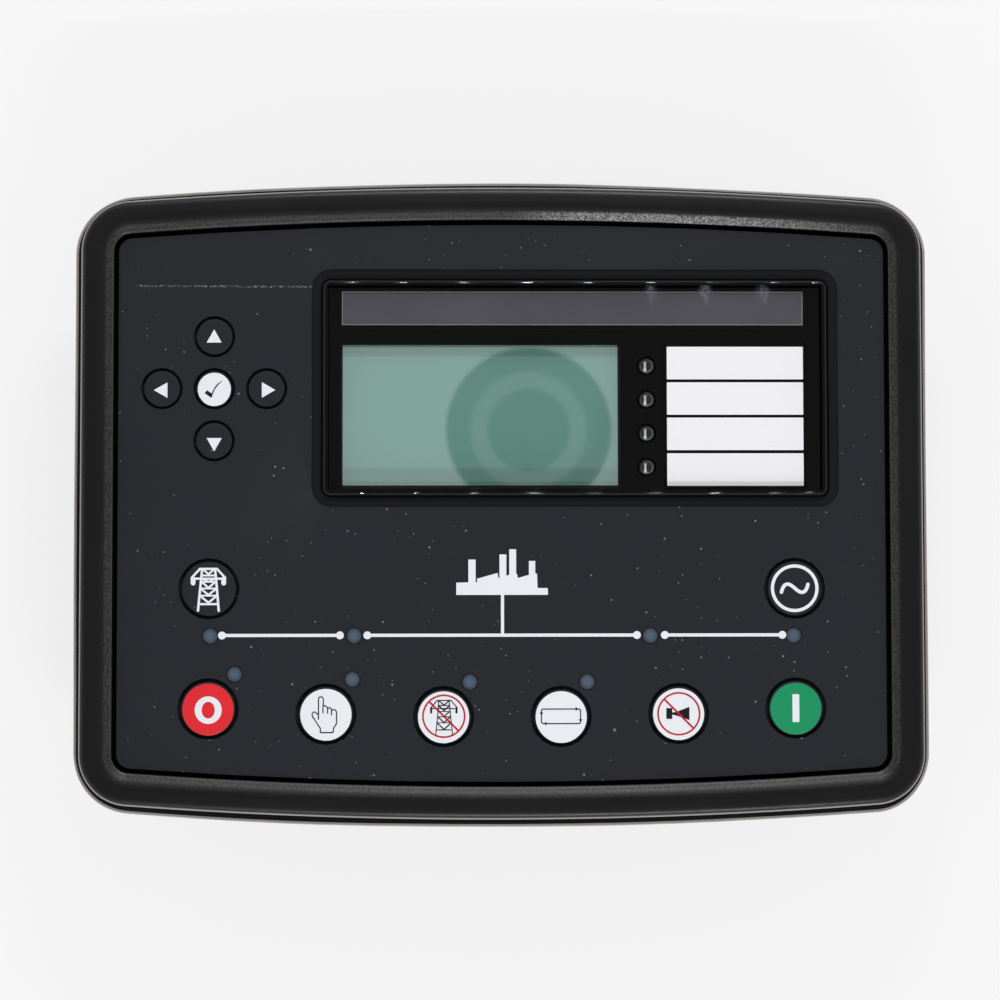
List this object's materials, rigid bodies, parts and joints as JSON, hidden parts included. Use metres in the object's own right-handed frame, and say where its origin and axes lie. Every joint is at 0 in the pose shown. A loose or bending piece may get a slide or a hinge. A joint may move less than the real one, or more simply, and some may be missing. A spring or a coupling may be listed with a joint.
{
  "type": "genset controller",
  "caption": "Panel-mounted generator controller: crowned oblong frame, keypad fascia with round push keys and lamp windows, raised display lens, rear case with open terminal headers.",
  "frame": {"origin": "centre of the bounding box's bottom: the flat back of the rear case, below the centre of the face", "axes": "+Z out of the face, +X to the right of the face, +Y to the top of the face; the controller lies on its back"},
  "size_m": [0.2474, 0.1872, 0.051],
  "materials": {
    "frame_black": "satin black moulded plastic, crowned",
    "fascia_grey": "matt charcoal grey fascia, dusty",
    "key_grey": "matt charcoal grey key with a printed symbol",
    "key_red": "matt red key with a white ring",
    "key_green": "matt green key with a white bar",
    "key_white": "matt white key with a black tick",
    "lamp_blue_grey": "smoked clear lamp window, unlit",
    "lens_clear": "clear glossy lens with dark edges",
    "led_clear": "water-clear domed lamp, unlit",
    "card_grey": "plain grey printed card, bare",
    "card_white": "plain white card, bare",
    "lcd_green": "grey-green reflective display, blank",
    "backlight_white": "white light guide",
    "silicone_grey": "grey silicone rubber",
    "carrier_black": "matt black moulded plastic",
    "board_green": "green solder mask on glass laminate",
    "case_black": "fine-textured matt black moulded plastic",
    "header_green": "green moulded plastic with tinned pins",
    "zinc_steel": "bright zinc plate",
    "chip_black": "black moulding compound"
  },
  "bodies": {
    "controller": {"front_frame": "frame_black", "fascia": "fascia_grey", "panel_gasket": "silicone_grey", "lamp_mains": "lamp_blue_grey", "lamp_mains_breaker": "lamp_blue_grey", "lamp_generator_breaker": "lamp_blue_grey", "lamp_generator": "lamp_blue_grey", "lamp_stop": "lamp_blue_grey", "lamp_manual": "lamp_blue_grey", "lamp_test": "lamp_blue_grey", "lamp_auto": "lamp_blue_grey", "display_lens": "lens_clear", "strip_card": "card_grey", "alarm_card": "card_white", "display_carrier": "carrier_black", "lcd_glass": "lcd_green", "lcd_backlight": "backlight_white", "alarm_led_1": "led_clear", "alarm_led_2": "led_clear", "alarm_led_3": "led_clear", "alarm_led_4": "led_clear", "key_mat": "silicone_grey", "display_board": "board_green", "main_board": "board_green", "board_spacer_1": "zinc_steel", "board_spacer_2": "zinc_steel", "board_spacer_3": "zinc_steel", "board_spacer_4": "zinc_steel", "board_link": "chip_black", "terminal_header_a": "header_green", "terminal_header_b": "header_green", "terminal_header_c": "header_green", "terminal_header_d": "header_green", "terminal_header_e": "header_green", "terminal_header_f": "header_green", "usb_socket": "zinc_steel", "rear_case": "case_black", "case_screw_1": "zinc_steel", "case_screw_2": "zinc_steel", "case_screw_3": "zinc_steel", "case_screw_4": "zinc_steel", "case_screw_5": "zinc_steel", "case_screw_6": "zinc_steel", "board_screw_1": "zinc_steel", "board_screw_2": "zinc_steel", "board_screw_3": "zinc_steel", "board_screw_4": "zinc_steel"},
    "key_up": {"key_up": "key_grey"},
    "key_left": {"key_left": "key_grey"},
    "key_accept": {"key_accept": "key_white"},
    "key_right": {"key_right": "key_grey"},
    "key_down": {"key_down": "key_grey"},
    "key_mains": {"key_mains": "key_grey"},
    "key_generator": {"key_generator": "key_grey"},
    "key_stop": {"key_stop": "key_red"},
    "key_manual": {"key_manual": "key_grey"},
    "key_test": {"key_test": "key_grey"},
    "key_auto": {"key_auto": "key_grey"},
    "key_mute": {"key_mute": "key_grey"},
    "key_start": {"key_start": "key_green"}
  },
  "joints": [
    {"name": "key_up_press", "type": "slide", "parent": "controller", "child": "key_up", "axis": [0, 0, -1], "range_m": [0, 0.001], "stiffness_N_per_m": 800},
    {"name": "key_left_press", "type": "slide", "parent": "controller", "child": "key_left", "axis": [0, 0, -1], "range_m": [0, 0.001], "stiffness_N_per_m": 800},
    {"name": "key_accept_press", "type": "slide", "parent": "controller", "child": "key_accept", "axis": [0, 0, -1], "range_m": [0, 0.001], "stiffness_N_per_m": 800},
    {"name": "key_right_press", "type": "slide", "parent": "controller", "child": "key_right", "axis": [0, 0, -1], "range_m": [0, 0.001], "stiffness_N_per_m": 800},
    {"name": "key_down_press", "type": "slide", "parent": "controller", "child": "key_down", "axis": [0, 0, -1], "range_m": [0, 0.001], "stiffness_N_per_m": 800},
    {"name": "key_mains_press", "type": "slide", "parent": "controller", "child": "key_mains", "axis": [0, 0, -1], "range_m": [0, 0.001], "stiffness_N_per_m": 800},
    {"name": "key_generator_press", "type": "slide", "parent": "controller", "child": "key_generator", "axis": [0, 0, -1], "range_m": [0, 0.001], "stiffness_N_per_m": 800},
    {"name": "key_stop_press", "type": "slide", "parent": "controller", "child": "key_stop", "axis": [0, 0, -1], "range_m": [0, 0.001], "stiffness_N_per_m": 800},
    {"name": "key_manual_press", "type": "slide", "parent": "controller", "child": "key_manual", "axis": [0, 0, -1], "range_m": [0, 0.001], "stiffness_N_per_m": 800},
    {"name": "key_test_press", "type": "slide", "parent": "controller", "child": "key_test", "axis": [0, 0, -1], "range_m": [0, 0.001], "stiffness_N_per_m": 800},
    {"name": "key_auto_press", "type": "slide", "parent": "controller", "child": "key_auto", "axis": [0, 0, -1], "range_m": [0, 0.001], "stiffness_N_per_m": 800},
    {"name": "key_mute_press", "type": "slide", "parent": "controller", "child": "key_mute", "axis": [0, 0, -1], "range_m": [0, 0.001], "stiffness_N_per_m": 800},
    {"name": "key_start_press", "type": "slide", "parent": "controller", "child": "key_start", "axis": [0, 0, -1], "range_m": [0, 0.001], "stiffness_N_per_m": 800}
  ]
}
